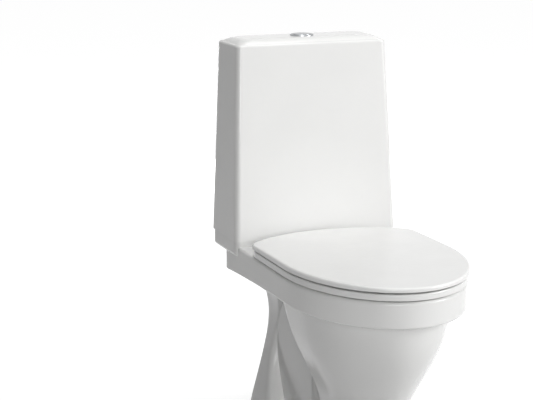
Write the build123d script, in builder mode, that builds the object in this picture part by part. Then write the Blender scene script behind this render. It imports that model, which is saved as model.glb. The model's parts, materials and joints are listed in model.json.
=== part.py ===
from build123d import *
import math
import os

os.makedirs("parts", exist_ok=True)

# Floor-standing toilet in millimetres. +Z is up, the bowl's front faces -Y, and the origin lies on the
# floor, midway between the lid's front tip and the wall plane behind the cistern cover.

# Overall sizes
overall_depth = 651.0
rim_height = 408.0
wall_y = overall_depth / 2
front_y = -wall_y

# Bowl's reach forward from the seat hinges; the bowl's lengths are shares of it
hinge_setback = 177.0
hinge_y = wall_y - hinge_setback
bowl_depth = overall_depth - hinge_setback
half_turn = 180

# Clearances shared by the pieces
seat_gap = 0.3
part_gap = 0.5
running_gap = 0.05
overrun = 2.0

# Rim band and rear deck, seen in plan: half an ellipse in front, straight sides, rounded rear corners
rim_half_width = 178.0
rim_front_share = 0.5127
lid_overhang = 5.0
band_height = 52.0
deck_drop = 17.0
deck_bend_offset = 25.0
band_top_radius = 6.0
band_bottom_radius = 4.0
deck_rear_setback = 50.0
deck_corner_radius = 28.0
ceramic_wall = 14.0

rim_front_length = bowl_depth * rim_front_share
rim_centre_y = front_y + lid_overhang + rim_front_length
band_bottom = rim_height - band_height
deck_bottom = band_bottom - deck_drop
deck_bend_y = rim_centre_y + deck_bend_offset
deck_rear_y = wall_y - deck_rear_setback

# Width and depth of the cistern cover, a tapered ceramic hood with an upright back
hood_bottom_width = 370.0
hood_bottom_depth = 150.0
hood_top_width = 338.0
hood_top_depth = 120.6

# Platform that carries the cistern, overhanging the deck at the rear
platform_rise = 13.0
platform_drop = 22.0
platform_inset = 2.0
platform_rear_setback = 4.0
platform_depth = 143.0
platform_corner_radius = 12.0
platform_under_radius = 9.0

platform_half_width = hood_bottom_width / 2 - platform_inset
platform_top = rim_height + platform_rise
platform_bottom = rim_height - platform_drop
platform_rear_y = wall_y - platform_rear_setback
platform_front_y = platform_rear_y - platform_depth

# Bowl and front pedestal below the band: section heights as shares of the band's lower edge, half
# widths as shares of the rim's half width, front reach as shares of the rim's front length, and the
# rear shoulder's place forward from the hinges as shares of the bowl's depth
bowl_height_shares = (1.0, 0.85, 0.71, 0.57, 0.43, 0.28, 0.14, 0.0)
bowl_width_shares = (0.86, 0.785, 0.694, 0.567, 0.452, 0.404, 0.438, 0.56)
bowl_front_shares = (0.875, 0.821, 0.737, 0.613, 0.492, 0.4, 0.366, 0.42)
bowl_shoulder_shares = (0.302, 0.302, 0.31, 0.321, 0.338, 0.35, 0.354, 0.354)
bowl_shoulder_radius = 16.0
bowl_shoulder_run = 50.1492
cove_radius = 12.0
cove_plate_inset = 8.0
cove_reach = rim_half_width - cove_radius
cove_front_y = front_y + lid_overhang + cove_radius
bowl_neck_y = hinge_y - bowl_depth * bowl_shoulder_shares[0] + bowl_shoulder_run

# Recessed waist between the bowl and the rear leg
waist_half_width = 62.0
waist_front_share = 0.3502
waist_corner_radius = 8.0
waist_front_y = hinge_y - bowl_depth * waist_front_share

# Rear leg around the trap's outlet, from the platform down to the flared foot: heights as shares of the
# platform's lower face, half widths and lengths as shares of the foot's; lengths run forward
leg_rear_setback = 18.0
leg_foot_half_width = 110.0
leg_foot_length = 132.0
leg_corner_radius = 16.0
leg_height_shares = (1.0, 0.67, 0.54, 0.415, 0.292, 0.142, 0.0)
leg_width_shares = (0.609, 0.609, 0.586, 0.655, 0.759, 0.9, 1.0)
leg_length_shares = (0.758, 0.682, 0.545, 0.47, 0.545, 0.75, 1.0)
casting_split_setback = 250.0
deck_split_setback = 264.0
leg_rear_y = wall_y - leg_rear_setback

# Foot flange with the floor-screw holes in the two side recesses
flange_height = 16.0
flange_half_width = 98.0
flange_front_share = 0.4705
flange_corner_radius = 20.0
floor_screw_half_spacing = 82.0
floor_screw_pitch = 120.0
floor_screw_middle_setback = 250.0
floor_hole_radius = 5.5
flange_front_y = hinge_y - bowl_depth * flange_front_share
floor_screw_middle_y = wall_y - floor_screw_middle_setback

# Basin, from the rim's lip down to the sump: depths as shares of the basin's depth, half widths, front
# and rear ends as shares of the basin's upper half width and half length
rim_lip_height = 42.0
mouth_half_width = 120.0
mouth_half_length_share = 0.3165
mouth_centre_share = 0.5549
lip_wall = 12.0
basin_half_width = 146.0
basin_half_length_share = 0.3523
basin_floor_height = 95.0
basin_height_shares = (1.0, 0.757, 0.535, 0.35, 0.166, 0.0)
basin_width_shares = (1.0, 0.856, 0.685, 0.493, 0.329, 0.26)
basin_front_shares = (1.0, 0.886, 0.713, 0.485, 0.234, 0.114)
basin_rear_shares = (1.0, 0.922, 0.76, 0.593, 0.425, 0.341)
mouth_half_length = bowl_depth * mouth_half_length_share
basin_half_length = bowl_depth * basin_half_length_share
mouth_centre_y = hinge_y - bowl_depth * mouth_centre_share
basin_top = rim_height - rim_lip_height

# Flush channel inside the rim and its feed duct from the cistern
rim_channel_height = 28.0
rim_channel_half_width = 163.0
rim_channel_half_length_share = 0.3882
feed_half_width = 27.0
rim_channel_half_length = bowl_depth * rim_channel_half_length_share

# Trapway bore and the outlet spigot in the leg
trap_radius = 40.0
trap_wall = 10.0
trap_outlet_setback = 86.0
trap_inlet_share = 0.5338
trap_dip_share = 0.4198
trap_dip_height = 134.0
trap_crown_setback = 222.0
trap_crown_height = 262.0
trap_bend_radius = 58.0
spigot_lift = 6.0
spigot_length = 28.0
socket_gap = 9.0
trap_outlet_y = wall_y - trap_outlet_setback

# Hollow underside
foot_pocket_height = 68.0
foot_pocket_half_width = 46.0
foot_pocket_rear_gap = 18.0
crown_pocket_height = 168.0
crown_pocket_front_setback = 250.0
pedestal_pocket_half_width = 58.0
pedestal_pocket_front_length = 74.0
deck_pocket_inner = 65.0
deck_pocket_front_setback = 248.0
deck_pocket_radius = 12.0
deck_top_wall = 14.0

# Cistern cover's height, edges and pillowed top
hood_rise = 408.0
hood_corner_radius = 12.0
hood_edge_radius = 6.0
hood_wall = 9.0
hood_crown = 9.0
hood_crown_inset_shares = (0.1, 0.24, 0.45)
hood_crown_height_shares = (0.0, 0.62, 1.0)
hood_top = platform_top + hood_rise
hood_face = hood_top + hood_crown

# Flush valve axis: straight under the middle of the cover's top
valve_y = wall_y - hood_top_depth / 2

# Holes through the platform and the deck
valve_recess_radius = 42.0
valve_recess_depth = 22.0
gasket_thickness = 6.0
tank_bolt_inset = 64.0
tank_bolt_setback = 80.0
tank_bolt_hole_radius = 5.0
inlet_inset = 29.0
inlet_setback = 32.0
inlet_hole_radius = 12.0
hinge_half_spacing = 77.5
hinge_bolt_hole_radius = 6.0
cover_least_half_width = min(hood_bottom_width, hood_top_width) / 2
tank_bolt_half_spacing = cover_least_half_width - tank_bolt_inset
tank_bolt_y = wall_y - tank_bolt_setback
inlet_x = cover_least_half_width - inlet_inset
inlet_y = wall_y - inlet_setback

# Inner tank, hung inside the cover with an even gap and standing on the gasket
tank_gap = 4.0
tank_wall = 3.0
tank_rise = 318.0
tank_bottom = platform_top + gasket_thickness
tank_floor = tank_bottom + tank_wall
gasket_outer_radius = 50.0

# Tank bolts, their rubber washers and nuts
tank_bolt_radius = 4.0
tank_bolt_head_radius = 8.0
tank_bolt_head_height = 5.0
tank_washer_radius = 11.0
washer_thickness = 3.0
nut_height = 8.0
nut_radius = 9.0
bolt_end = 14.0

# Flush valve: seat, nut and the frame round it
valve_flange_radius = 42.0
valve_flange_thickness = 4.0
valve_shank_radius = 29.0
valve_bore_radius = 24.0
valve_shank_drop = 28.0
valve_lip_rise = 6.0
valve_nut_radius = 38.0
valve_nut_height = 12.0
frame_wall = 3.0
frame_rise = 266.0
frame_window_width = 34.0
frame_window_height = 42.0
frame_window_lift = 8.0
guide_plate_thickness = 4.0
valve_flange_top = tank_floor + valve_flange_thickness
valve_lip_top = valve_flange_top + valve_lip_rise
frame_top = valve_flange_top + frame_rise

# Lifting tube with its plug, seal and yoke
lift_tube_radius = 14.0
lift_tube_wall = 2.0
plug_radius = 30.0
plug_thickness = 4.0
seal_thickness = 1.7
seal_inner_radius = 25.0
yoke_half_width = 36.0
yoke_half_depth = 12.0
yoke_thickness = 3.0
yoke_lift = 6.0
ear_length = 12.0
plug_bottom = valve_lip_top + seat_gap + seal_thickness
yoke_bottom = frame_top + yoke_lift

# Rockers on one pin in the bridge
rocker_height = 35.0
rocker_pin_radius = 2.5
rocker_boss_radius = 5.5
rocker_half_height = 3.0
rocker_width = 6.0
rocker_offset = 8.0
rod_offset = 14.0
rod_radius = 2.5
rocker_short_arm = 20.0
rocker_long_arm = 31.0
latch_long_arm = 22.0
rocker_z = frame_top + rocker_height
ear_bottom = rocker_z + rocker_half_height + seat_gap

# Bridge over the valve, up to the socket for the button's sleeve
bridge_plate_thickness = 3.0
bridge_plate_hole_radius = 17.0
bridge_cheek_gap = 20.0
bridge_cheek_thickness = 5.0
bridge_cheek_half_width = 14.0
socket_radius = 28.0
socket_height = 16.0

# Flush button in the cover's top
sleeve_radius = 22.0
sleeve_wall = 1.5
sleeve_flange_radius = 25.0
sleeve_flange_thickness = 2.5
sleeve_depth = 48.0
cover_hole_gap = 0.5
button_rise = 1.0
button_height = 12.0
button_split = 0.6
button_edge_radius = 0.8
sleeve_bottom = hood_face - sleeve_depth
sleeve_bore_radius = sleeve_radius - sleeve_wall
button_top = hood_face + sleeve_flange_thickness + button_rise

# Fill valve over the water inlet, with its float
inlet_thread_radius = 10.48
inlet_thread_drop = 34.0
inlet_nut_radius = 15.0
inlet_nut_height = 10.0
relief_gap = 1.0
relief_height = 2.0
relief_radius = 9.5
fill_flange_radius = 14.0
riser_radius = 9.0
fill_valve_bore_radius = 5.0
riser_rise = 253.0
fill_head_radius = 13.0
fill_head_height = 26.0
fill_cap_radius = 14.0
fill_cap_height = 7.0
float_pivot_offset = 20.0
float_pivot_lift = 13.0
float_pin_radius = 1.5
float_lug_half_gap = 3.2
float_lug_thickness = 3.0
float_lug_radius = 4.5
float_arm_width = 6.0
float_arm_half_height = 3.0
float_arm_share = 0.61
float_radius = 13.5
float_height = 46.0
float_wall = 1.5
riser_bottom = tank_floor + washer_thickness
riser_top = riser_bottom + valve_flange_thickness + riser_rise
fill_head_top = riser_top + fill_head_height
float_pivot_x = inlet_x - float_pivot_offset
float_arm_length = (float_pivot_x - valve_nut_radius) * float_arm_share
float_pivot_z = riser_top + float_pivot_lift

# Lid: a slim plate with a slightly crowned top and a shallow hollow underneath
lid_half_width = 183.0
lid_front_share = 0.5232
lid_rear_setback = 165.0
lid_rear_arc_radius = 300.0
lid_corner_radius = 45.0
lid_lift = 20.5
lid_edge_height = 8.5
lid_crown = 4.0
lid_edge_radius = 4.0
lid_skirt = 8.0
lid_recess = 5.6
lid_front_length = bowl_depth * lid_front_share
lid_centre_y = front_y + lid_front_length
lid_rear_y = wall_y - lid_rear_setback
lid_bottom = rim_height + lid_lift
lid_ceiling = lid_bottom + lid_recess
lid_top = lid_bottom + lid_edge_height + lid_crown
lid_middle_y = (front_y + lid_rear_y) / 2
lid_half_length = (lid_rear_y - front_y) / 2
lid_crown_radius = (lid_half_length**2 + lid_crown**2) / (2 * lid_crown)

# Seat ring under the lid
seat_inset = 3.0
seat_lift = 4.0
seat_thickness = 12.0
seat_rear_setback = 180.0
seat_hole_half_width = 112.0
seat_hole_half_length_share = 0.2911
seat_hole_share = 0.5232
seat_outer_radius = 2.5
seat_inner_radius = 5.0
seat_bottom = rim_height + seat_lift
seat_top = seat_bottom + seat_thickness
seat_rear_y = wall_y - seat_rear_setback
seat_hole_half_length = bowl_depth * seat_hole_half_length_share
seat_hole_y = hinge_y - bowl_depth * seat_hole_share

# Buffers under the seat and the lid
bumper_radius = 8.0
rear_bumper_half_spacing = 148.0
rear_bumper_share = 0.4283
front_bumper_half_spacing = 95.0
front_bumper_share = 0.7975

# Seat and lid hinges; the lid's underside stays just outside the barrels' radius
hinge_pin_radius = 3.0
hinge_barrel_radius = 5.5
post_half_width = 8.0
post_base_radius = 10.0
post_base_height = 2.0
knuckle_width = 10.0
knuckle_gap = 1.5
pin_end = 1.0
hinge_stud_radius = 4.0
hinge_stud_grip = 10.0
hinge_washer_radius = 12.0
hinge_z = lid_bottom - part_gap - hinge_barrel_radius
knuckle_inner_x = hinge_half_spacing - post_half_width - knuckle_gap - knuckle_width
knuckle_outer_x = hinge_half_spacing + post_half_width + knuckle_gap
hinge_notch_gap = 2.0


def dee(plane, half_width, front_length, centre_y, rear_y, corner_radius):
    """Plan outline: half an ellipse in front, straight sides and rounded rear corners."""
    with BuildSketch(plane) as outline:
        with BuildLine():
            EllipticalCenterArc(
                (0, centre_y), half_width, front_length, start_angle=half_turn, arc_size=half_turn
            )
            Polyline(
                (half_width, centre_y),
                (half_width, rear_y),
                (-half_width, rear_y),
                (-half_width, centre_y),
            )
        make_face()
        fillet(outline.vertices().group_by(Axis.Y)[-1], corner_radius)
    return outline.sketch


def bowl_section(plane, half_width, front_length, shoulder_share):
    """Plan section of the bowl: half an ellipse, short sides, rounded shoulders and a neck."""
    shoulder_y = hinge_y - bowl_depth * shoulder_share
    with BuildSketch(plane) as outline:
        with BuildLine():
            EllipticalCenterArc(
                (0, rim_centre_y), half_width, front_length, start_angle=half_turn, arc_size=half_turn
            )
            Polyline(
                (half_width, rim_centre_y),
                (half_width, shoulder_y),
                (waist_half_width, bowl_neck_y),
                (-waist_half_width, bowl_neck_y),
                (-half_width, shoulder_y),
                (-half_width, rim_centre_y),
            )
        make_face()
        fillet(outline.vertices().group_by(Axis.Y)[-2], bowl_shoulder_radius)
    return outline.sketch


def slab(plane, half_width, front_y_end, rear_y_end, corner_radius):
    """Rounded rectangle across the middle plane, between two places along Y."""
    with BuildSketch(plane) as outline:
        with Locations((0, (front_y_end + rear_y_end) / 2)):
            RectangleRounded(2 * half_width, rear_y_end - front_y_end, corner_radius)
    return outline.sketch


def oval(plane, half_width, front_end, rear_end):
    """Ellipse across the middle plane, between two places along Y."""
    with BuildSketch(plane) as outline:
        with Locations((0, (front_end + rear_end) / 2)):
            Ellipse(half_width, (rear_end - front_end) / 2)
    return outline.sketch


# Trapway centre line in the middle plane: sump, dip, rise, crown and drop to the floor
with BuildLine(Plane.YZ) as trap_path:
    FilletPolyline(
        (hinge_y - bowl_depth * trap_inlet_share, trap_dip_height),
        (hinge_y - bowl_depth * trap_dip_share, trap_dip_height),
        (wall_y - trap_crown_setback, trap_crown_height),
        (trap_outlet_y, trap_crown_height),
        (trap_outlet_y, -overrun),
        radius=trap_bend_radius,
    )

with BuildPart() as platform:
    extrude(
        slab(
            Plane.XY.offset(platform_bottom),
            platform_half_width,
            platform_front_y,
            platform_rear_y,
            platform_corner_radius,
        ),
        amount=platform_top - platform_bottom,
    )
    fillet(platform.faces().sort_by(Axis.Z)[0].edges(), platform_under_radius)

# Solid outline of the rim band and the deck, whose underside drops gently towards the rear
with BuildPart() as rim_block:
    extrude(
        dee(
            Plane.XY.offset(deck_bottom),
            rim_half_width,
            rim_front_length,
            rim_centre_y,
            deck_rear_y,
            deck_corner_radius,
        ),
        amount=rim_height - deck_bottom,
    )
    with BuildSketch(Plane.YZ):
        with BuildLine():
            TangentArc((deck_bend_y, band_bottom), (wall_y, deck_bottom), tangent=(1, 0))
            Polyline(
                (wall_y, deck_bottom),
                (wall_y, deck_bottom - overrun),
                (front_y, deck_bottom - overrun),
                (front_y, band_bottom),
                (deck_bend_y, band_bottom),
            )
        make_face()
    extrude(amount=rim_half_width + overrun, both=True, mode=Mode.SUBTRACT)
    fillet(rim_block.faces().sort_by(Axis.Z)[-1].edges(), band_top_radius)
    fillet(
        rim_block.faces()
        .filter_by(lambda face: face.normal_at().Z < -0.5)
        .edges()
        .filter_by(lambda edge: abs(edge.center().Y - deck_bend_y) > overrun),
        band_bottom_radius,
    )

with BuildPart() as casting:
    # Bowl and pedestal under a plain plate inside the band
    extrude(
        dee(
            Plane.XY.offset(band_bottom),
            rim_half_width - cove_plate_inset,
            rim_front_length - cove_plate_inset,
            rim_centre_y,
            deck_rear_y - cove_plate_inset,
            deck_corner_radius,
        ),
        amount=band_height / 2,
    )
    loft(
        [
            bowl_section(
                Plane.XY.offset(band_bottom * height),
                rim_half_width * width,
                rim_front_length * front,
                shoulder,
            )
            for height, width, front, shoulder in zip(
                bowl_height_shares, bowl_width_shares, bowl_front_shares, bowl_shoulder_shares
            )
        ]
    )

    # Cove where the bowl meets the band's underside
    fillet(
        casting.edges()
        .filter_by_position(Axis.X, -cove_reach, cove_reach)
        .filter_by_position(Axis.Y, cove_front_y, bowl_neck_y - waist_corner_radius)
        .group_by(lambda edge: abs(edge.center().Z - band_bottom))[0],
        cove_radius,
    )
    add(rim_block.part)
    add(platform.part)

    # Waist
    extrude(
        slab(
            Plane.XY,
            waist_half_width,
            waist_front_y,
            leg_rear_y - leg_corner_radius,
            waist_corner_radius,
        ),
        amount=band_bottom,
    )

    # Rear leg
    loft(
        [
            slab(
                Plane.XY.offset(platform_bottom * height),
                leg_foot_half_width * width,
                leg_rear_y - leg_foot_length * length,
                leg_rear_y,
                leg_corner_radius,
            )
            for height, width, length in zip(leg_height_shares, leg_width_shares, leg_length_shares)
        ]
    )

    # Foot flange
    extrude(
        slab(
            Plane.XY,
            flange_half_width,
            flange_front_y,
            leg_rear_y - leg_corner_radius,
            flange_corner_radius,
        ),
        amount=flange_height,
    )

    # Mouth of the rim and the basin under its lip
    extrude(
        oval(
            Plane.XY.offset(basin_top),
            mouth_half_width,
            mouth_centre_y - mouth_half_length,
            mouth_centre_y + mouth_half_length,
        ),
        amount=rim_lip_height + overrun,
        mode=Mode.SUBTRACT,
    )
    loft(
        [
            oval(
                Plane.XY.offset(basin_floor_height + (basin_top - basin_floor_height) * height),
                basin_half_width * width,
                mouth_centre_y - basin_half_length * front,
                mouth_centre_y + basin_half_length * rear,
            )
            for height, width, front, rear in zip(
                basin_height_shares, basin_width_shares, basin_front_shares, basin_rear_shares
            )
        ],
        mode=Mode.SUBTRACT,
    )

    # Flush channel behind the lip and its feed from the cistern
    with BuildSketch(Plane.XY.offset(basin_top)) as rim_channel:
        with Locations((0, mouth_centre_y)):
            Ellipse(rim_channel_half_width, rim_channel_half_length)
            Ellipse(mouth_half_width + lip_wall, mouth_half_length + lip_wall, mode=Mode.SUBTRACT)
    extrude(rim_channel.sketch, amount=rim_channel_height, mode=Mode.SUBTRACT)
    extrude(
        slab(
            Plane.XY.offset(basin_top),
            feed_half_width,
            mouth_centre_y + mouth_half_length + lip_wall,
            valve_y + feed_half_width,
            feed_half_width - overrun,
        ),
        amount=rim_channel_height,
        mode=Mode.SUBTRACT,
    )
    with Locations((0, valve_y, basin_top)):
        Cylinder(
            feed_half_width,
            platform_top - basin_top,
            align=(Align.CENTER, Align.CENTER, Align.MIN),
            mode=Mode.SUBTRACT,
        )
    with Locations((0, valve_y, platform_top)):
        Hole(valve_recess_radius, valve_recess_depth)

    # Trapway bore
    with BuildSketch(Plane(trap_path.line @ 0, z_dir=trap_path.line % 0)) as trap_section:
        Circle(trap_radius)
    sweep(trap_section.sketch, path=trap_path.line, mode=Mode.SUBTRACT)

    # Hollow underside: the pedestal, the waist and the leg around the spigot
    extrude(
        dee(
            Plane.XY,
            pedestal_pocket_half_width,
            pedestal_pocket_front_length,
            rim_centre_y,
            waist_front_y,
            waist_corner_radius,
        ),
        amount=foot_pocket_height,
        mode=Mode.SUBTRACT,
    )
    pocket_rear_y = trap_outlet_y - trap_radius - trap_wall - foot_pocket_rear_gap
    extrude(
        slab(Plane.XY, foot_pocket_half_width, rim_centre_y, pocket_rear_y, waist_corner_radius),
        amount=foot_pocket_height,
        mode=Mode.SUBTRACT,
    )
    extrude(
        slab(
            Plane.XY,
            foot_pocket_half_width,
            wall_y - crown_pocket_front_setback,
            pocket_rear_y,
            waist_corner_radius,
        ),
        amount=crown_pocket_height,
        mode=Mode.SUBTRACT,
    )
    with BuildSketch() as spigot_socket:
        with Locations((0, trap_outlet_y)):
            Circle(trap_radius + trap_wall + socket_gap)
            Circle(trap_radius + trap_wall, mode=Mode.SUBTRACT)
    extrude(spigot_socket.sketch, amount=spigot_lift + spigot_length, mode=Mode.SUBTRACT)
    with BuildSketch() as spigot_end:
        with Locations((0, trap_outlet_y)):
            Circle(trap_radius + trap_wall)
    extrude(spigot_end.sketch, amount=spigot_lift, mode=Mode.SUBTRACT)

    # Hollows under the deck, one each side of the waist
    pocket_width = rim_half_width - ceramic_wall - deck_pocket_inner
    pocket_length = deck_pocket_front_setback - deck_rear_setback - ceramic_wall
    with BuildSketch(Plane.XY.offset(deck_bottom)) as deck_pockets:
        with Locations(
            (deck_pocket_inner + pocket_width / 2, deck_rear_y - ceramic_wall - pocket_length / 2),
            (-deck_pocket_inner - pocket_width / 2, deck_rear_y - ceramic_wall - pocket_length / 2),
        ):
            RectangleRounded(pocket_width, pocket_length, deck_pocket_radius)
    extrude(deck_pockets.sketch, amount=rim_height - deck_top_wall - deck_bottom, mode=Mode.SUBTRACT)

    # Holes for the tank bolts, the water inlet, the seat hinges and the floor screws
    for side in (-1, 1):
        with Locations((side * tank_bolt_half_spacing, tank_bolt_y, platform_top)):
            Hole(tank_bolt_hole_radius, platform_top - deck_bottom)
        with Locations((side * hinge_half_spacing, hinge_y, rim_height)):
            Hole(hinge_bolt_hole_radius, band_height)
    with Locations((inlet_x, inlet_y, platform_top)):
        Hole(inlet_hole_radius, platform_top - platform_bottom)
    with Locations(Plane.XY.offset(flange_height)):
        with Locations((0, floor_screw_middle_y)):
            with GridLocations(2 * floor_screw_half_spacing, floor_screw_pitch, 2, 2):
                Hole(floor_hole_radius, flange_height)

# The casting's parts, joined without a gap: platform, rim band, rear deck, bowl with pedestal, leg
with BuildPart() as cistern_platform:
    add(casting.part)
    add(platform.part, mode=Mode.INTERSECT)
cistern_platform.part.label = "cistern_platform"
export_step(cistern_platform.part, "parts/cistern_platform.step")

deck_split = Plane.XZ.offset(deck_split_setback - wall_y)
with BuildPart() as rim_band:
    add(casting.part)
    add(rim_block.part, mode=Mode.INTERSECT)
    split(bisect_by=deck_split, keep=Keep.TOP)
rim_band.part.label = "rim_band"
export_step(rim_band.part, "parts/rim_band.step")

with BuildPart() as rear_deck:
    add(casting.part)
    add(rim_block.part, mode=Mode.INTERSECT)
    add(platform.part, mode=Mode.SUBTRACT)
    split(bisect_by=deck_split, keep=Keep.BOTTOM)
rear_deck.part.label = "rear_deck"
export_step(rear_deck.part, "parts/rear_deck.step")

leg_split = Plane.XZ.offset(casting_split_setback - wall_y)
with BuildPart() as bowl:
    add(casting.part)
    add(rim_block.part, mode=Mode.SUBTRACT)
    add(platform.part, mode=Mode.SUBTRACT)
    split(bisect_by=leg_split, keep=Keep.TOP)
bowl.part.label = "bowl"
export_step(bowl.part, "parts/bowl.step")

with BuildPart() as rear_leg:
    add(casting.part)
    add(rim_block.part, mode=Mode.SUBTRACT)
    add(platform.part, mode=Mode.SUBTRACT)
    split(bisect_by=leg_split, keep=Keep.BOTTOM)
rear_leg.part.label = "rear_leg"
export_step(rear_leg.part, "parts/rear_leg.step")


def hood_block(low_share, high_share, inset, corner_radius):
    """Tapered block between two shares of the cover's rise, inset all round; its back is upright."""
    (low_z, low_half, low_front), (high_z, high_half, high_front) = (
        (
            platform_top + hood_rise * share,
            (hood_bottom_width + (hood_top_width - hood_bottom_width) * share) / 2 - inset,
            wall_y - hood_bottom_depth - (hood_top_depth - hood_bottom_depth) * share + inset,
        )
        for share in (low_share, high_share)
    )
    with BuildPart() as block:
        with BuildSketch(Plane.YZ):
            with BuildLine():
                Polyline(
                    (low_front, low_z),
                    (wall_y - inset, low_z),
                    (wall_y - inset, high_z),
                    (high_front, high_z),
                    close=True,
                )
            make_face()
        extrude(amount=hood_bottom_width + hood_top_width, both=True)
        with BuildSketch(Plane.XZ.offset(-wall_y)):
            with BuildLine():
                Polyline(
                    (-low_half, low_z),
                    (low_half, low_z),
                    (high_half, high_z),
                    (-high_half, high_z),
                    close=True,
                )
            make_face()
        extrude(amount=hood_bottom_depth + hood_top_depth, both=True, mode=Mode.INTERSECT)
        fillet(
            block.edges().filter_by(lambda edge: edge.bounding_box().size.Z > (high_z - low_z) / 2),
            corner_radius,
        )
    return block.part


def ring(plane, outer_radius, inner_radius):
    """Flat ring round a plane's origin."""
    with BuildSketch(plane) as outline:
        Circle(outer_radius)
        Circle(inner_radius, mode=Mode.SUBTRACT)
    return outline.sketch


def lid_outline(plane, inset):
    """Lid's plan outline: half an ellipse, straight sides and a gently curved rear edge."""
    half_width = lid_half_width - inset
    arc_radius = lid_rear_arc_radius - inset
    rear_y = lid_rear_y - inset
    corner_y = rear_y - arc_radius + math.sqrt(arc_radius**2 - half_width**2)
    with BuildSketch(plane) as outline:
        with BuildLine():
            EllipticalCenterArc(
                (0, lid_centre_y),
                half_width,
                lid_front_length - inset,
                start_angle=half_turn,
                arc_size=half_turn,
            )
            Line((half_width, lid_centre_y), (half_width, corner_y))
            ThreePointArc((half_width, corner_y), (0, rear_y), (-half_width, corner_y))
            Line((-half_width, corner_y), (-half_width, lid_centre_y))
        make_face()
        fillet(outline.vertices().group_by(Axis.Y)[-1], lid_corner_radius - inset)
    return outline.sketch


cover_hollow = hood_block(0, 1 - hood_wall / hood_rise, hood_wall, hood_corner_radius - hood_wall / 2)
cover_block = hood_block(0, 1, 0, hood_corner_radius)
with BuildPart() as cistern_cover:
    add(cover_block)
    fillet(cistern_cover.faces().sort_by(Axis.Z)[-1].edges(), hood_edge_radius)
    # Pillowed top
    crown_sections = []
    for inset_share, height_share in zip(hood_crown_inset_shares, hood_crown_height_shares):
        crown_inset = inset_share * hood_top_depth / 2
        with BuildSketch(Plane.XY.offset(hood_top + hood_crown * height_share)) as crown_section:
            with Locations((0, valve_y)):
                RectangleRounded(
                    hood_top_width - 2 * crown_inset,
                    hood_top_depth - 2 * crown_inset,
                    hood_corner_radius + crown_inset / 2,
                )
        crown_sections.append(crown_section.sketch)
    loft(crown_sections)
    # Hollow, open at the bottom
    add(cover_hollow, mode=Mode.SUBTRACT)
    with Locations((0, valve_y, hood_face)):
        Hole(sleeve_radius + cover_hole_gap, hood_wall + hood_crown + overrun)
cistern_cover.part.label = "cistern_cover"
export_step(cistern_cover.part, "parts/cistern_cover.step")

tank_inset = hood_wall + tank_gap
tank_low_share = gasket_thickness / hood_rise
tank_top_share = (gasket_thickness + tank_rise) / hood_rise
tank_block = hood_block(tank_low_share, tank_top_share, tank_inset, hood_corner_radius)
tank_hollow = hood_block(
    tank_low_share + tank_wall / hood_rise,
    tank_top_share,
    tank_inset + tank_wall,
    hood_corner_radius - tank_wall,
)
with BuildPart() as inner_tank:
    add(tank_block)
    add(tank_hollow, mode=Mode.SUBTRACT)
    with Locations((0, valve_y, tank_floor)):
        Hole(valve_shank_radius + part_gap, tank_wall)
    for side in (-1, 1):
        with Locations((side * tank_bolt_half_spacing, tank_bolt_y, tank_floor)):
            Hole(tank_bolt_radius + part_gap, tank_wall)
    with Locations((inlet_x, inlet_y, tank_floor)):
        Hole(inlet_thread_radius + part_gap, tank_wall)
inner_tank.part.label = "inner_tank"
export_step(inner_tank.part, "parts/inner_tank.step")

with BuildPart() as tank_gasket:
    extrude(
        ring(Plane((0, valve_y, platform_top)), gasket_outer_radius, valve_recess_radius + part_gap),
        amount=gasket_thickness,
    )
tank_gasket.part.label = "tank_gasket"
export_step(tank_gasket.part, "parts/tank_gasket.step")

# Tank bolts: head in the tank, shank through the platform, nut under the deck's pocket
tank_nut_top = rim_height - deck_top_wall
with BuildPart() as tank_bolts:
    for side in (-1, 1):
        with Locations((side * tank_bolt_half_spacing, tank_bolt_y, tank_floor + washer_thickness)):
            Cylinder(
                tank_bolt_head_radius,
                tank_bolt_head_height,
                align=(Align.CENTER, Align.CENTER, Align.MIN),
            )
            Cylinder(
                tank_bolt_radius,
                tank_floor + washer_thickness - tank_nut_top + bolt_end,
                align=(Align.CENTER, Align.CENTER, Align.MAX),
            )
tank_bolts.part.label = "tank_bolts"
export_step(tank_bolts.part, "parts/tank_bolts.step")

with BuildPart() as tank_bolt_washers:
    for side in (-1, 1):
        extrude(
            ring(
                Plane((side * tank_bolt_half_spacing, tank_bolt_y, tank_floor)),
                tank_washer_radius,
                tank_bolt_radius + running_gap,
            ),
            amount=washer_thickness,
        )
tank_bolt_washers.part.label = "tank_bolt_washers"
export_step(tank_bolt_washers.part, "parts/tank_bolt_washers.step")

with BuildPart() as tank_bolt_nuts:
    with BuildSketch(Plane.XY.offset(tank_nut_top)):
        for side in (-1, 1):
            with Locations((side * tank_bolt_half_spacing, tank_bolt_y)):
                RegularPolygon(nut_radius, 6)
                Circle(tank_bolt_radius + running_gap, mode=Mode.SUBTRACT)
    extrude(amount=-nut_height)
tank_bolt_nuts.part.label = "tank_bolt_nuts"
export_step(tank_bolt_nuts.part, "parts/tank_bolt_nuts.step")

# Flush valve seat: flange on the tank's floor, threaded shank through it, raised lip for the seal
with BuildPart() as flush_valve_seat:
    with Locations((0, valve_y, tank_floor)):
        Cylinder(
            valve_flange_radius,
            valve_flange_thickness,
            align=(Align.CENTER, Align.CENTER, Align.MIN),
        )
        Cylinder(
            plug_radius,
            valve_flange_thickness + valve_lip_rise,
            align=(Align.CENTER, Align.CENTER, Align.MIN),
        )
        Cylinder(valve_shank_radius, valve_shank_drop, align=(Align.CENTER, Align.CENTER, Align.MAX))
    with Locations((0, valve_y, valve_lip_top)):
        Hole(valve_bore_radius, valve_lip_top - tank_floor + valve_shank_drop)
flush_valve_seat.part.label = "flush_valve_seat"
export_step(flush_valve_seat.part, "parts/flush_valve_seat.step")

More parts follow.
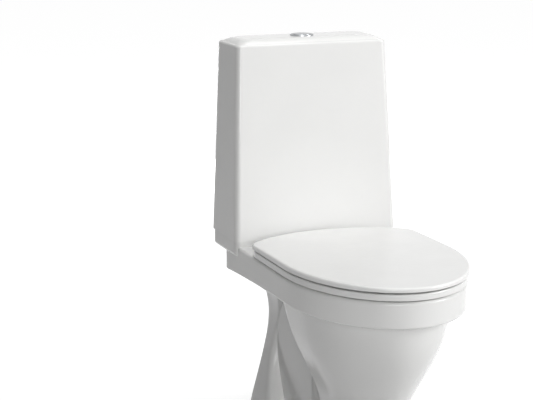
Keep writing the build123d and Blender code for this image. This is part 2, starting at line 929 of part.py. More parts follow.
with BuildPart() as flush_valve_nut:
    extrude(
        ring(
            Plane((0, valve_y, tank_bottom)),
            valve_nut_radius,
            valve_shank_radius + running_gap,
        ),
        amount=-valve_nut_height,
    )
flush_valve_nut.part.label = "flush_valve_nut"
export_step(flush_valve_nut.part, "parts/flush_valve_nut.step")

# Valve frame: a tube with four windows and a guide plate on top
with BuildPart() as valve_frame:
    extrude(
        ring(Plane((0, valve_y, valve_flange_top)), valve_nut_radius, valve_nut_radius - frame_wall),
        amount=frame_rise,
    )
    extrude(
        ring(
            Plane((0, valve_y, frame_top)),
            valve_nut_radius,
            lift_tube_radius + seat_gap,
        ),
        amount=-guide_plate_thickness,
    )
    with Locations((0, valve_y, valve_flange_top + frame_window_lift)):
        Box(
            2 * valve_nut_radius + overrun,
            frame_window_width,
            frame_window_height,
            align=(Align.CENTER, Align.CENTER, Align.MIN),
            mode=Mode.SUBTRACT,
        )
        Box(
            frame_window_width,
            2 * valve_nut_radius + overrun,
            frame_window_height,
            align=(Align.CENTER, Align.CENTER, Align.MIN),
            mode=Mode.SUBTRACT,
        )
valve_frame.part.label = "valve_frame"
export_step(valve_frame.part, "parts/valve_frame.step")

# Bridge: plate on the frame, two cheeks with the rocker pin, socket for the button's sleeve
cheek_middle = bridge_cheek_gap + bridge_cheek_thickness / 2
with BuildPart() as valve_bridge:
    extrude(
        ring(Plane((0, valve_y, frame_top)), valve_nut_radius, bridge_plate_hole_radius),
        amount=bridge_plate_thickness,
    )
    for side in (-1, 1):
        with Locations((0, valve_y + side * cheek_middle, frame_top)):
            Box(
                2 * bridge_cheek_half_width,
                bridge_cheek_thickness,
                sleeve_bottom + socket_height - frame_top,
                align=(Align.CENTER, Align.CENTER, Align.MIN),
            )
    with Locations((0, valve_y, sleeve_bottom)):
        Cylinder(socket_radius, socket_height, align=(Align.CENTER, Align.CENTER, Align.MIN))
        Cylinder(
            sleeve_radius + running_gap,
            socket_height,
            align=(Align.CENTER, Align.CENTER, Align.MIN),
            mode=Mode.SUBTRACT,
        )
    with Locations(Location((0, valve_y, rocker_z), (90, 0, 0))):
        Cylinder(rocker_pin_radius + running_gap, 2 * socket_radius, mode=Mode.SUBTRACT)
valve_bridge.part.label = "valve_bridge"
export_step(valve_bridge.part, "parts/valve_bridge.step")

with BuildPart() as rocker_pin:
    with Locations(Location((0, valve_y, rocker_z), (90, 0, 0))):
        Cylinder(rocker_pin_radius, 2 * (bridge_cheek_gap + bridge_cheek_thickness))
rocker_pin.part.label = "rocker_pin"
export_step(rocker_pin.part, "parts/rocker_pin.step")


def rocker(side, long_arm):
    """Rocker bar on the pin: the short arm takes the push rod, the long arm points the other way."""
    with BuildPart() as bar:
        with Locations(Location((0, valve_y + side * rocker_offset, rocker_z), (90, 0, 0))):
            Cylinder(rocker_boss_radius, rocker_width)
        with Locations((side * (rocker_short_arm - long_arm) / 2, valve_y + side * rocker_offset, rocker_z)):
            Box(rocker_short_arm + long_arm, rocker_width, 2 * rocker_half_height)
        with Locations(Location((0, valve_y, rocker_z), (90, 0, 0))):
            Cylinder(rocker_pin_radius + running_gap, 2 * socket_radius, mode=Mode.SUBTRACT)
    return bar.part


full_flush_rocker = rocker(1, rocker_long_arm)
full_flush_rocker.label = "full_flush_rocker"
export_step(full_flush_rocker, "parts/full_flush_rocker.step")

half_flush_latch = rocker(-1, latch_long_arm)
half_flush_latch.label = "half_flush_latch"
export_step(half_flush_latch, "parts/half_flush_latch.step")

# Overflow tube with the plug at its foot and the yoke that the rocker lifts
with BuildPart() as valve_lift:
    with Locations((0, valve_y, plug_bottom)):
        Cylinder(plug_radius, plug_thickness, align=(Align.CENTER, Align.CENTER, Align.MIN))
        Cylinder(
            lift_tube_radius,
            yoke_bottom + yoke_thickness - plug_bottom,
            align=(Align.CENTER, Align.CENTER, Align.MIN),
        )
    with Locations((0, valve_y, yoke_bottom)):
        Box(
            2 * yoke_half_width,
            2 * yoke_half_depth,
            ear_bottom + yoke_thickness - yoke_bottom,
            align=(Align.CENTER, Align.CENTER, Align.MIN),
        )
    with Locations((0, valve_y, yoke_bottom + yoke_thickness)):
        Box(
            2 * (yoke_half_width - yoke_thickness),
            2 * yoke_half_depth + overrun,
            ear_bottom - yoke_bottom - yoke_thickness,
            align=(Align.CENTER, Align.CENTER, Align.MIN),
            mode=Mode.SUBTRACT,
        )
        Box(
            2 * (yoke_half_width - ear_length),
            2 * yoke_half_depth + overrun,
            ear_bottom - yoke_bottom + overrun,
            align=(Align.CENTER, Align.CENTER, Align.MIN),
            mode=Mode.SUBTRACT,
        )
        Hole(lift_tube_radius - lift_tube_wall, yoke_bottom + yoke_thickness - plug_bottom)
valve_lift.part.label = "valve_lift"
export_step(valve_lift.part, "parts/valve_lift.step")

with BuildPart() as valve_seal:
    extrude(
        ring(Plane((0, valve_y, plug_bottom)), plug_radius, seal_inner_radius),
        amount=-seal_thickness,
    )
valve_seal.part.label = "valve_seal"
export_step(valve_seal.part, "parts/valve_seal.step")

# Fill valve over the inlet: threaded shank, flange, riser, head and the lugs for the float's pin
with BuildPart() as fill_valve_body:
    with Locations((inlet_x, inlet_y, riser_bottom)):
        Cylinder(
            inlet_thread_radius,
            riser_bottom - platform_bottom + inlet_thread_drop,
            align=(Align.CENTER, Align.CENTER, Align.MAX),
        )
        Cylinder(
            fill_flange_radius,
            valve_flange_thickness,
            align=(Align.CENTER, Align.CENTER, Align.MIN),
        )
        Cylinder(
            riser_radius,
            riser_top - riser_bottom,
            align=(Align.CENTER, Align.CENTER, Align.MIN),
        )
    with Locations((inlet_x, inlet_y, riser_top)):
        Cylinder(fill_head_radius, fill_head_height, align=(Align.CENTER, Align.CENTER, Align.MIN))
    lug_middle = float_lug_half_gap + float_lug_thickness / 2
    for side in (-1, 1):
        with Locations((float_pivot_x, inlet_y + side * lug_middle, float_pivot_z)):
            Box(
                float_pivot_offset,
                float_lug_thickness,
                2 * float_lug_radius,
                align=(Align.MIN, Align.CENTER, Align.CENTER),
            )
        with Locations(Location((float_pivot_x, inlet_y + side * lug_middle, float_pivot_z), (90, 0, 0))):
            Cylinder(float_lug_radius, float_lug_thickness)
            Cylinder(float_pin_radius + running_gap, float_lug_thickness, mode=Mode.SUBTRACT)
    # Relief groove between the nut and the thread's free end
    extrude(
        ring(
            Plane((inlet_x, inlet_y, platform_bottom - inlet_nut_height - relief_gap)),
            inlet_thread_radius + overrun,
            relief_radius,
        ),
        amount=-relief_height,
        mode=Mode.SUBTRACT,
    )
    with Locations((inlet_x, inlet_y, riser_top)):
        Hole(fill_valve_bore_radius, riser_top - platform_bottom + inlet_thread_drop)
fill_valve_body.part.label = "fill_valve_body"
export_step(fill_valve_body.part, "parts/fill_valve_body.step")

with BuildPart() as fill_valve_cap:
    with Locations((inlet_x, inlet_y, fill_head_top)):
        Cylinder(fill_cap_radius, fill_cap_height, align=(Align.CENTER, Align.CENTER, Align.MIN))
    fillet(fill_valve_cap.faces().sort_by(Axis.Z)[-1].edges(), fill_cap_height / 3)
fill_valve_cap.part.label = "fill_valve_cap"
export_step(fill_valve_cap.part, "parts/fill_valve_cap.step")

with BuildPart() as inlet_washer:
    extrude(
        ring(
            Plane((inlet_x, inlet_y, tank_floor)),
            fill_flange_radius,
            inlet_thread_radius + running_gap,
        ),
        amount=washer_thickness,
    )
inlet_washer.part.label = "inlet_washer"
export_step(inlet_washer.part, "parts/inlet_washer.step")

with BuildPart() as inlet_nut:
    with BuildSketch(Plane((inlet_x, inlet_y, platform_bottom))):
        RegularPolygon(inlet_nut_radius, 6)
        Circle(inlet_thread_radius + running_gap, mode=Mode.SUBTRACT)
    extrude(amount=-inlet_nut_height)
inlet_nut.part.label = "inlet_nut"
export_step(inlet_nut.part, "parts/inlet_nut.step")

with BuildPart() as float_pin:
    with Locations(Location((float_pivot_x, inlet_y, float_pivot_z), (90, 0, 0))):
        Cylinder(float_pin_radius, 2 * (float_lug_half_gap + float_lug_thickness))
float_pin.part.label = "float_pin"
export_step(float_pin.part, "parts/float_pin.step")

with BuildPart() as float_arm:
    with Locations(Location((float_pivot_x, inlet_y, float_pivot_z), (90, 0, 0))):
        Cylinder(float_lug_radius, float_arm_width)
    with Locations((float_pivot_x, inlet_y, float_pivot_z)):
        Box(
            float_arm_length + float_radius,
            float_arm_width,
            2 * float_arm_half_height,
            align=(Align.MAX, Align.CENTER, Align.CENTER),
        )
    with Locations(Location((float_pivot_x, inlet_y, float_pivot_z), (90, 0, 0))):
        Cylinder(float_pin_radius + running_gap, 2 * float_arm_width, mode=Mode.SUBTRACT)
float_arm.part.label = "float_arm"
export_step(float_arm.part, "parts/float_arm.step")

# Float: an upturned cup under the arm
float_top = float_pivot_z - float_arm_half_height
with BuildPart() as float_cup:
    with Locations((float_pivot_x - float_arm_length, inlet_y, float_top)):
        Cylinder(float_radius, float_height, align=(Align.CENTER, Align.CENTER, Align.MAX))
    with Locations((float_pivot_x - float_arm_length, inlet_y, float_top - float_wall)):
        Hole(float_radius - float_wall, float_height)
float_cup.part.label = "float"
export_step(float_cup.part, "parts/float.step")

# Chrome sleeve in the cover, screwed into the bridge's socket
with BuildPart() as button_sleeve:
    with Locations((0, valve_y, hood_face)):
        Cylinder(sleeve_radius, sleeve_depth, align=(Align.CENTER, Align.CENTER, Align.MAX))
        Cylinder(
            sleeve_flange_radius,
            sleeve_flange_thickness,
            align=(Align.CENTER, Align.CENTER, Align.MIN),
        )
    fillet(button_sleeve.faces().sort_by(Axis.Z)[-1].edges(), sleeve_flange_thickness / 2)
    with Locations((0, valve_y, hood_face + sleeve_flange_thickness)):
        Hole(sleeve_bore_radius, sleeve_depth + sleeve_flange_thickness)
button_sleeve.part.label = "button_sleeve"
export_step(button_sleeve.part, "parts/button_sleeve.step")


def half_moon(side):
    """One of the two half-round buttons."""
    with BuildPart() as moon:
        with Locations((0, valve_y, button_top)):
            Cylinder(
                sleeve_bore_radius - seat_gap,
                button_height,
                align=(Align.CENTER, Align.CENTER, Align.MAX),
            )
            Box(
                button_split,
                2 * sleeve_radius,
                2 * button_height,
                mode=Mode.SUBTRACT,
            )
            Box(
                sleeve_radius,
                2 * sleeve_radius,
                2 * button_height,
                align=(Align.MAX if side > 0 else Align.MIN, Align.CENTER, Align.CENTER),
                mode=Mode.SUBTRACT,
            )
        fillet(moon.faces().sort_by(Axis.Z)[-1].edges(), button_edge_radius)
    return moon.part


full_flush_button = half_moon(1)
full_flush_button.label = "full_flush_button"
export_step(full_flush_button, "parts/full_flush_button.step")

half_flush_button = half_moon(-1)
half_flush_button.label = "half_flush_button"
export_step(half_flush_button, "parts/half_flush_button.step")


def push_rod(side):
    """Round rod with a domed end, from the button down to just above its rocker."""
    rod_bottom = rocker_z + rocker_half_height + part_gap
    with BuildPart() as rod:
        with Locations((side * rod_offset, valve_y + side * rocker_offset, rod_bottom + rod_radius)):
            Sphere(rod_radius)
            Cylinder(
                rod_radius,
                button_top - button_height - rod_bottom - rod_radius,
                align=(Align.CENTER, Align.CENTER, Align.MIN),
            )
    return rod.part


full_push_rod = push_rod(1)
full_push_rod.label = "full_push_rod"
export_step(full_push_rod, "parts/full_push_rod.step")

half_push_rod = push_rod(-1)
half_push_rod.label = "half_push_rod"
export_step(half_push_rod, "parts/half_push_rod.step")

# Seat ring with its notches and hinge knuckles
notch_inner_x = knuckle_inner_x - knuckle_gap
notch_outer_x = knuckle_outer_x - knuckle_gap / 2
seat_knuckle_x = knuckle_outer_x + knuckle_width / 2
lid_knuckle_x = knuckle_inner_x + knuckle_width / 2
with BuildPart() as seat:
    extrude(lid_outline(Plane.XY.offset(seat_bottom), seat_inset), amount=seat_thickness)
    with Locations((0, seat_rear_y, seat_bottom)):
        Box(
            2 * lid_half_width,
            seat_rear_setback,
            2 * seat_thickness,
            align=(Align.CENTER, Align.MIN, Align.CENTER),
            mode=Mode.SUBTRACT,
        )
    fillet(seat.faces().sort_by(Axis.Z)[-1].edges(), seat_outer_radius)
    extrude(
        oval(
            Plane.XY.offset(seat_bottom),
            seat_hole_half_width,
            seat_hole_y - seat_hole_half_length,
            seat_hole_y + seat_hole_half_length,
        ),
        amount=seat_thickness,
        mode=Mode.SUBTRACT,
    )
    fillet(
        seat.edges().filter_by_position(Axis.Z, seat_top, seat_top).filter_by(GeomType.ELLIPSE),
        seat_inner_radius,
    )
    for side in (-1, 1):
        with Locations((side * (notch_inner_x + notch_outer_x) / 2, hinge_y, seat_bottom)):
            Box(
                notch_outer_x - notch_inner_x,
                2 * (hinge_barrel_radius + hinge_notch_gap),
                2 * seat_thickness,
                align=(Align.CENTER, Align.CENTER, Align.CENTER),
                mode=Mode.SUBTRACT,
            )
        with Locations((side * seat_knuckle_x, hinge_y, hinge_z - hinge_barrel_radius)):
            Box(
                knuckle_width,
                hinge_barrel_radius + hinge_notch_gap,
                seat_top - seat_outer_radius / 2 - hinge_z + hinge_barrel_radius,
                align=(Align.CENTER, Align.MAX, Align.MIN),
            )
        with Locations(Location((side * seat_knuckle_x, hinge_y, hinge_z), (0, 90, 0))):
            Cylinder(hinge_barrel_radius, knuckle_width)
            Cylinder(hinge_pin_radius + running_gap, knuckle_width, mode=Mode.SUBTRACT)
seat.part.label = "seat"
export_step(seat.part, "parts/seat.step")

bumper_places = [
    (side * half_spacing, hinge_y - bowl_depth * place_share)
    for side in (-1, 1)
    for half_spacing, place_share in (
        (rear_bumper_half_spacing, rear_bumper_share),
        (front_bumper_half_spacing, front_bumper_share),
    )
]
with BuildPart() as seat_bumpers:
    with Locations(Plane.XY.offset(rim_height + seat_gap)):
        with Locations(bumper_places):
            Cylinder(
                bumper_radius,
                seat_bottom - rim_height - seat_gap,
                align=(Align.CENTER, Align.CENTER, Align.MIN),
            )
seat_bumpers.part.label = "seat_bumpers"
export_step(seat_bumpers.part, "parts/seat_bumpers.step")

with BuildPart() as lid_bumpers:
    with Locations(Plane.XY.offset(seat_top + seat_gap)):
        with Locations(bumper_places):
            Cylinder(
                bumper_radius,
                lid_ceiling - seat_top - seat_gap,
                align=(Align.CENTER, Align.CENTER, Align.MIN),
            )
lid_bumpers.part.label = "lid_bumpers"
export_step(lid_bumpers.part, "parts/lid_bumpers.step")

with BuildPart() as lid:
    extrude(lid_outline(Plane.XY.offset(lid_bottom), 0), amount=lid_top - lid_bottom + overrun)
    with Locations((0, lid_middle_y, lid_top - lid_crown_radius)):
        Sphere(lid_crown_radius, mode=Mode.INTERSECT)
    fillet(lid.faces().sort_by(Axis.Z)[-1].edges(), lid_edge_radius)
    extrude(
        lid_outline(Plane.XY.offset(lid_bottom), lid_skirt),
        amount=lid_recess,
        mode=Mode.SUBTRACT,
    )
lid.part.label = "lid"
export_step(lid.part, "parts/lid.step")

# Lid's hinge knuckles, fixed flat under its rear edge
with BuildPart() as lid_knuckles:
    for side in (-1, 1):
        with Locations((side * lid_knuckle_x, hinge_y, hinge_z)):
            Box(
                knuckle_width,
                2 * hinge_barrel_radius,
                lid_bottom - hinge_z,
                align=(Align.CENTER, Align.CENTER, Align.MIN),
            )
        with Locations(Location((side * lid_knuckle_x, hinge_y, hinge_z), (0, 90, 0))):
            Cylinder(hinge_barrel_radius, knuckle_width)
            Cylinder(hinge_pin_radius + running_gap, knuckle_width, mode=Mode.SUBTRACT)
lid_knuckles.part.label = "lid_knuckles"
export_step(lid_knuckles.part, "parts/lid_knuckles.step")

# Hinge posts on the deck, with the pin's bore across and the stud's bore underneath
with BuildPart() as hinge_posts:
    for side in (-1, 1):
        with Locations((side * hinge_half_spacing, hinge_y, rim_height)):
            Cylinder(post_base_radius, post_base_height, align=(Align.CENTER, Align.CENTER, Align.MIN))
            Box(
                2 * post_half_width,
                2 * hinge_barrel_radius,
                hinge_z - rim_height,
                align=(Align.CENTER, Align.CENTER, Align.MIN),
            )
        with Locations(Location((side * hinge_half_spacing, hinge_y, hinge_z), (0, 90, 0))):
            Cylinder(hinge_barrel_radius, 2 * post_half_width)
            Cylinder(hinge_pin_radius + running_gap, 2 * post_half_width, mode=Mode.SUBTRACT)
        with Locations((side * hinge_half_spacing, hinge_y, rim_height)):
            Cylinder(
                hinge_stud_radius + running_gap,
                hinge_stud_grip,
                align=(Align.CENTER, Align.CENTER, Align.MIN),
                mode=Mode.SUBTRACT,
            )
hinge_posts.part.label = "hinge_posts"
export_step(hinge_posts.part, "parts/hinge_posts.step")

with BuildPart() as hinge_pins:
    pin_length = knuckle_outer_x + knuckle_width - knuckle_inner_x + 2 * pin_end
    for side in (-1, 1):
        with Locations(Location((side * hinge_half_spacing, hinge_y, hinge_z), (0, 90, 0))):
            Cylinder(hinge_pin_radius, pin_length)
hinge_pins.part.label = "hinge_pins"
export_step(hinge_pins.part, "parts/hinge_pins.step")

with BuildPart() as hinge_bolts:
    for side in (-1, 1):
        with Locations((side * hinge_half_spacing, hinge_y, rim_height + hinge_stud_grip)):
            Cylinder(
                hinge_stud_radius,
                hinge_stud_grip + deck_top_wall + washer_thickness + bolt_end,
                align=(Align.CENTER, Align.CENTER, Align.MAX),
            )
hinge_bolts.part.label = "hinge_bolts"
export_step(hinge_bolts.part, "parts/hinge_bolts.step")

with BuildPart() as hinge_washers:
    for side in (-1, 1):
        extrude(
            ring(
                Plane((side * hinge_half_spacing, hinge_y, tank_nut_top)),
                hinge_washer_radius,
                hinge_stud_radius + running_gap,
            ),
            amount=-washer_thickness,
        )
hinge_washers.part.label = "hinge_washers"
export_step(hinge_washers.part, "parts/hinge_washers.step")

with BuildPart() as hinge_nuts:
    with BuildSketch(Plane.XY.offset(tank_nut_top - washer_thickness)):
        for side in (-1, 1):
            with Locations((side * hinge_half_spacing, hinge_y)):
                RegularPolygon(nut_radius, 6)
                Circle(hinge_stud_radius + running_gap, mode=Mode.SUBTRACT)
    extrude(amount=-nut_height)
hinge_nuts.part.label = "hinge_nuts"
export_step(hinge_nuts.part, "parts/hinge_nuts.step")
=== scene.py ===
import json
import math

import bpy
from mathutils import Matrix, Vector

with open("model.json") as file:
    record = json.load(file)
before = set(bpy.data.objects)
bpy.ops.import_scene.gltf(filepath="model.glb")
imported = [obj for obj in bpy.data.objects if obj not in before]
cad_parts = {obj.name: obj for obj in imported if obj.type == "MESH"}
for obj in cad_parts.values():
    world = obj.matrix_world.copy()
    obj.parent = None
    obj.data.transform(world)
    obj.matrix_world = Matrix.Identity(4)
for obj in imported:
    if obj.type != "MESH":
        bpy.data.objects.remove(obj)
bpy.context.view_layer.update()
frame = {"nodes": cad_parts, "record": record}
nodes = frame["nodes"]

# Camera of the photograph; lengths here and below are in metres
VIEW_AZIMUTH = math.radians(-21.54)
VIEW_ELEVATION = math.radians(12.51)
CAMERA_PLACE = (-1.2517, -2.7016, 1.1929)
CAMERA_REACH = 60.0
FOCAL_PIXELS = 1514.4
FRAME_WIDTH = 533
SENSOR_WIDTH = 36.0

# Floor: half width, tone, and the painted light, a white glow that only direct and mirrored views of it
# see, from its least value near the object to its greatest further out, where it stands in for the weaker
# lamp light
FLOOR_REACH = 14.0
FLOOR_TONE = 0.46
FLOOR_WHITE_LEAST = 0.8
FLOOR_WHITE_MOST = 0.97
FLOOR_WHITE_START = 0.8
FLOOR_WHITE_END = 3.0

# World: light on the object, and what the camera and mirror rays see
AMBIENT_STRENGTH = 0.03
BACKGROUND_STRENGTH = 1.0
WHITE = (1.0, 1.0, 1.0, 1.0)

# Soft lamps, which all face one point on the object: name, place, width, height and power
LAMP_AIM = (0.0, 0.0, 0.4)
LAMPS = (
    ("key", (3.2, -2.2, 1.8), 2.0, 2.0, 110.0),
    ("fill", (-1.2, -3.2, 1.2), 1.4, 1.4, 42.0),
    ("top", (0.0, -0.2, 3.2), 2.0, 2.0, 46.0),
    ("back", (0.9, 3.1, 0.35), 1.2, 0.5, 32.0),
)

# Clouding, speckle and relief that all plain surfaces share
CLOUD_SCALE = 9.0
CLOUD_RAMP = (0.35, 0.65)
CLOUD_RANGE = (0.3, 0.7)
SPECKLE_SCALE = 900.0
SPECKLE_RANGE = (0.62, 0.8)
RELIEF_STRENGTH = 0.35
LEAST_ROUGHNESS = 0.02

# Brushing of the metals: how much finer the grain is along Y, and the spread of tone and gloss
BRUSH_STRETCH = 14.0
BRUSH_TONES = (0.9, 1.06)
BRUSH_GLOSSES = (0.8, 1.25)

# Colours written as linear red, green and blue
PORCELAIN = (0.82, 0.82, 0.81)
# Chrome is set darker than real chrome: painted shade, as if it mirrored dark surroundings
CHROME_WITH_PAINTED_SHADE = (0.36, 0.37, 0.38)
STEEL = (0.56, 0.57, 0.58)
BRASS = (0.62, 0.44, 0.18)


def socket(tree, kind, **inputs):
    """A node of that kind with plain numbers or links on its named inputs."""
    node = tree.nodes.new(kind)
    for name, value in inputs.items():
        target = node.inputs[name.replace("_", " ")]
        if isinstance(value, bpy.types.NodeSocket):
            tree.links.new(value, target)
        else:
            target.default_value = value
    return node


def empty_tree(owner):
    """The emptied node tree of a material or a world."""
    owner.use_nodes = True
    owner.node_tree.nodes.clear()
    return owner.node_tree


def surface(name, colour, spread, roughness, rough_spread, grain, depth, speckle=0.0, **shader):
    """A plain surface: clouded colour, uneven gloss, fine relief and, if asked for, dark speckles."""
    mat = bpy.data.materials.new(name)
    tree = empty_tree(mat)
    place = tree.nodes.new("ShaderNodeTexCoord").outputs["Object"]
    cloud = socket(tree, "ShaderNodeTexNoise", Vector=place, Scale=CLOUD_SCALE, Detail=3.0, Roughness=0.5)
    tint = tree.nodes.new("ShaderNodeValToRGB")
    low = [max(c - spread, 0.0) for c in colour]
    high = [min(c + spread, 1.0) for c in colour]
    for element, position, tone in zip(tint.color_ramp.elements, CLOUD_RAMP, (low, high)):
        element.position = position
        element.color = (*tone, 1.0)
    tree.links.new(cloud.outputs["Fac"], tint.inputs["Fac"])
    colour_out = tint.outputs["Color"]
    if speckle:
        dots = socket(
            tree, "ShaderNodeTexNoise", Vector=place, Scale=SPECKLE_SCALE, Detail=2.0, Roughness=0.6
        )
        mask = socket(
            tree,
            "ShaderNodeMapRange",
            Value=dots.outputs["Fac"],
            From_Min=SPECKLE_RANGE[0],
            From_Max=SPECKLE_RANGE[1],
        )
        mix = tree.nodes.new("ShaderNodeMixRGB")
        mix.inputs["Color2"].default_value = (*[c * (1.0 - speckle) for c in colour], 1.0)
        tree.links.new(mask.outputs["Result"], mix.inputs["Fac"])
        tree.links.new(colour_out, mix.inputs["Color1"])
        colour_out = mix.outputs["Color"]
    gloss = socket(
        tree,
        "ShaderNodeMapRange",
        Value=cloud.outputs["Fac"],
        From_Min=CLOUD_RANGE[0],
        From_Max=CLOUD_RANGE[1],
        To_Min=max(roughness - rough_spread, LEAST_ROUGHNESS),
        To_Max=roughness + rough_spread,
    )
    relief = socket(tree, "ShaderNodeTexNoise", Vector=place, Scale=grain, Detail=2.0, Roughness=0.5)
    bump = socket(
        tree, "ShaderNodeBump", Height=relief.outputs["Fac"], Strength=RELIEF_STRENGTH, Distance=depth
    )
    bsdf = socket(
        tree,
        "ShaderNodeBsdfPrincipled",
        Base_Color=colour_out,
        Roughness=gloss.outputs["Result"],
        Normal=bump.outputs["Normal"],
        **shader,
    )
    out = tree.nodes.new("ShaderNodeOutputMaterial")
    tree.links.new(bsdf.outputs["BSDF"], out.inputs["Surface"])
    return mat


def brushed(name, colour, roughness, scale):
    """Metal with fine lines square to Y and a slightly uneven tone."""
    mat = bpy.data.materials.new(name)
    tree = empty_tree(mat)
    place = tree.nodes.new("ShaderNodeTexCoord").outputs["Object"]
    stretch = socket(tree, "ShaderNodeMapping", Vector=place, Scale=(1.0, BRUSH_STRETCH, 1.0))
    lines = socket(tree, "ShaderNodeTexNoise", Vector=stretch.outputs["Vector"], Scale=scale, Detail=4.0)
    tint = tree.nodes.new("ShaderNodeValToRGB")
    for element, share in zip(tint.color_ramp.elements, BRUSH_TONES):
        element.color = (*[min(c * share, 1.0) for c in colour], 1.0)
    tree.links.new(lines.outputs["Fac"], tint.inputs["Fac"])
    gloss = socket(
        tree,
        "ShaderNodeMapRange",
        Value=lines.outputs["Fac"],
        To_Min=roughness * BRUSH_GLOSSES[0],
        To_Max=roughness * BRUSH_GLOSSES[1],
    )
    bsdf = socket(
        tree,
        "ShaderNodeBsdfPrincipled",
        Base_Color=tint.outputs["Color"],
        Roughness=gloss.outputs["Result"],
        Metallic=1.0,
    )
    out = tree.nodes.new("ShaderNodeOutputMaterial")
    tree.links.new(bsdf.outputs["BSDF"], out.inputs["Surface"])
    return mat


# One finish for each material slot
finish_of = {
    "ceramic": surface(
        "glazed_ceramic",
        PORCELAIN,
        spread=0.006,
        roughness=0.16,
        rough_spread=0.03,
        grain=60.0,
        depth=0.0006,
        Specular_IOR_Level=0.33,
        Coat_Weight=0.12,
        Coat_Roughness=0.05,
    ),
    "seat_plastic": surface(
        "seat_plastic",
        PORCELAIN,
        spread=0.005,
        roughness=0.24,
        rough_spread=0.03,
        grain=90.0,
        depth=0.0004,
        Coat_Weight=0.3,
        Coat_Roughness=0.12,
    ),
    "tank_plastic": surface(
        "tank_plastic",
        (0.72, 0.72, 0.70),
        spread=0.015,
        roughness=0.5,
        rough_spread=0.06,
        grain=400.0,
        depth=0.0004,
        speckle=0.05,
    ),
    "valve_plastic": surface(
        "valve_plastic",
        (0.74, 0.77, 0.79),
        spread=0.012,
        roughness=0.42,
        rough_spread=0.05,
        grain=500.0,
        depth=0.0003,
        speckle=0.04,
    ),
    "rubber": surface(
        "black_rubber",
        (0.025, 0.025, 0.026),
        spread=0.006,
        roughness=0.7,
        rough_spread=0.08,
        grain=700.0,
        depth=0.0004,
        speckle=0.3,
    ),
    "bumper_rubber": surface(
        "pad_rubber",
        (0.70, 0.70, 0.69),
        spread=0.01,
        roughness=0.55,
        rough_spread=0.05,
        grain=700.0,
        depth=0.0003,
        speckle=0.06,
    ),
    # the chrome's dark tone is painted shade standing in for a dark mirror image
    "chrome": brushed("satin_chrome_with_painted_shade", CHROME_WITH_PAINTED_SHADE, roughness=0.26, scale=300.0),
    "steel": brushed("plain_steel", STEEL, roughness=0.34, scale=500.0),
    "brass": brushed("machined_brass", BRASS, roughness=0.3, scale=500.0),
}
for entry in frame["record"]["subparts"]:
    obj = nodes[entry["node"]]
    obj.data.materials.clear()
    obj.data.materials.append(finish_of[entry["material_slot"]])


def seen_directly(tree):
    """1 for camera, glossy and transmission rays, and 0 for the rays that carry light."""
    path = tree.nodes.new("ShaderNodeLightPath")
    total = path.outputs["Is Camera Ray"]
    for ray in ("Is Glossy Ray", "Is Transmission Ray"):
        add = tree.nodes.new("ShaderNodeMath")
        add.operation = "ADD"
        add.use_clamp = True
        tree.links.new(total, add.inputs[0])
        tree.links.new(path.outputs[ray], add.inputs[1])
        total = add.outputs["Value"]
    return total


def by_ray(tree, unseen, seen, output_kind):
    """Puts one shader on the rays that carry light and the other on those that seen_directly names."""
    choice = tree.nodes.new("ShaderNodeMixShader")
    tree.links.new(seen_directly(tree), choice.inputs["Fac"])
    tree.links.new(unseen, choice.inputs[1])
    tree.links.new(seen, choice.inputs[2])
    out = tree.nodes.new(output_kind)
    tree.links.new(choice.outputs["Shader"], out.inputs["Surface"])
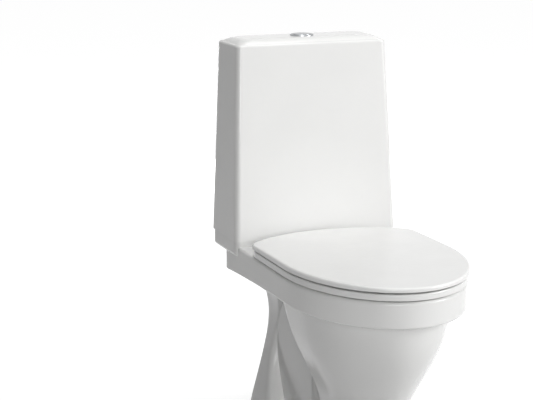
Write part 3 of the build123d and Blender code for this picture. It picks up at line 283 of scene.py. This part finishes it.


# Floor: matt grey under the lamps, with a painted glow that camera and mirror rays see
corners = [(x * FLOOR_REACH, y * FLOOR_REACH, 0.0) for x, y in ((-1, -1), (1, -1), (1, 1), (-1, 1))]
floor_mesh = bpy.data.meshes.new("floor")
floor_mesh.from_pydata(corners, [], [(0, 1, 2, 3)])
floor = bpy.data.objects.new("floor", floor_mesh)
bpy.context.scene.collection.objects.link(floor)
floor_paint = bpy.data.materials.new("floor_with_painted_glow")
tree = empty_tree(floor_paint)
matt = socket(tree, "ShaderNodeBsdfDiffuse", Color=(FLOOR_TONE, FLOOR_TONE, FLOOR_TONE, 1.0))
spot = socket(tree, "ShaderNodeVectorMath", Vector=tree.nodes.new("ShaderNodeTexCoord").outputs["Object"])
spot.operation = "LENGTH"
reach = socket(
    tree,
    "ShaderNodeMapRange",
    Value=spot.outputs["Value"],
    From_Min=FLOOR_WHITE_START,
    From_Max=FLOOR_WHITE_END,
    To_Min=FLOOR_WHITE_LEAST,
    To_Max=FLOOR_WHITE_MOST,
)
# painted light: the white glow grows with distance from the object, so the far floor looks evenly lit
painted_glow = socket(tree, "ShaderNodeEmission", Color=WHITE, Strength=reach.outputs["Result"])
both = tree.nodes.new("ShaderNodeAddShader")
tree.links.new(matt.outputs["BSDF"], both.inputs[0])
tree.links.new(painted_glow.outputs["Emission"], both.inputs[1])
by_ray(tree, matt.outputs["BSDF"], both.outputs["Shader"], "ShaderNodeOutputMaterial")
floor_mesh.materials.append(floor_paint)

# White surroundings
world = bpy.data.worlds.new("surroundings")
bpy.context.scene.world = world
tree = empty_tree(world)
ambient = socket(tree, "ShaderNodeBackground", Color=WHITE, Strength=AMBIENT_STRENGTH)
white = socket(tree, "ShaderNodeBackground", Color=WHITE, Strength=BACKGROUND_STRENGTH)
by_ray(tree, ambient.outputs["Background"], white.outputs["Background"], "ShaderNodeOutputWorld")

# Lamps
for name, place, width, height, power in LAMPS:
    lamp = bpy.data.lights.new(name, "AREA")
    lamp.shape = "RECTANGLE"
    lamp.size = width
    lamp.size_y = height
    lamp.energy = power
    lamp_object = bpy.data.objects.new(name, lamp)
    lamp_object.location = place
    lamp_object.rotation_euler = (Vector(LAMP_AIM) - Vector(place)).to_track_quat("-Z", "Y").to_euler()
    bpy.context.scene.collection.objects.link(lamp_object)

# Camera
camera_data = bpy.data.cameras.new("photo_camera")
camera_data.sensor_width = SENSOR_WIDTH
camera_data.sensor_fit = "HORIZONTAL"
camera_data.lens = FOCAL_PIXELS / FRAME_WIDTH * SENSOR_WIDTH
camera_data.clip_end = CAMERA_REACH
camera = bpy.data.objects.new("photo_camera", camera_data)
bpy.context.scene.collection.objects.link(camera)
camera.location = CAMERA_PLACE
view = Vector(
    (
        -math.sin(VIEW_AZIMUTH) * math.cos(VIEW_ELEVATION),
        math.cos(VIEW_AZIMUTH) * math.cos(VIEW_ELEVATION),
        -math.sin(VIEW_ELEVATION),
    )
)
camera.rotation_euler = view.to_track_quat("-Z", "Y").to_euler()
bpy.context.scene.camera = camera

bpy.context.scene.view_settings.view_transform = "Standard"
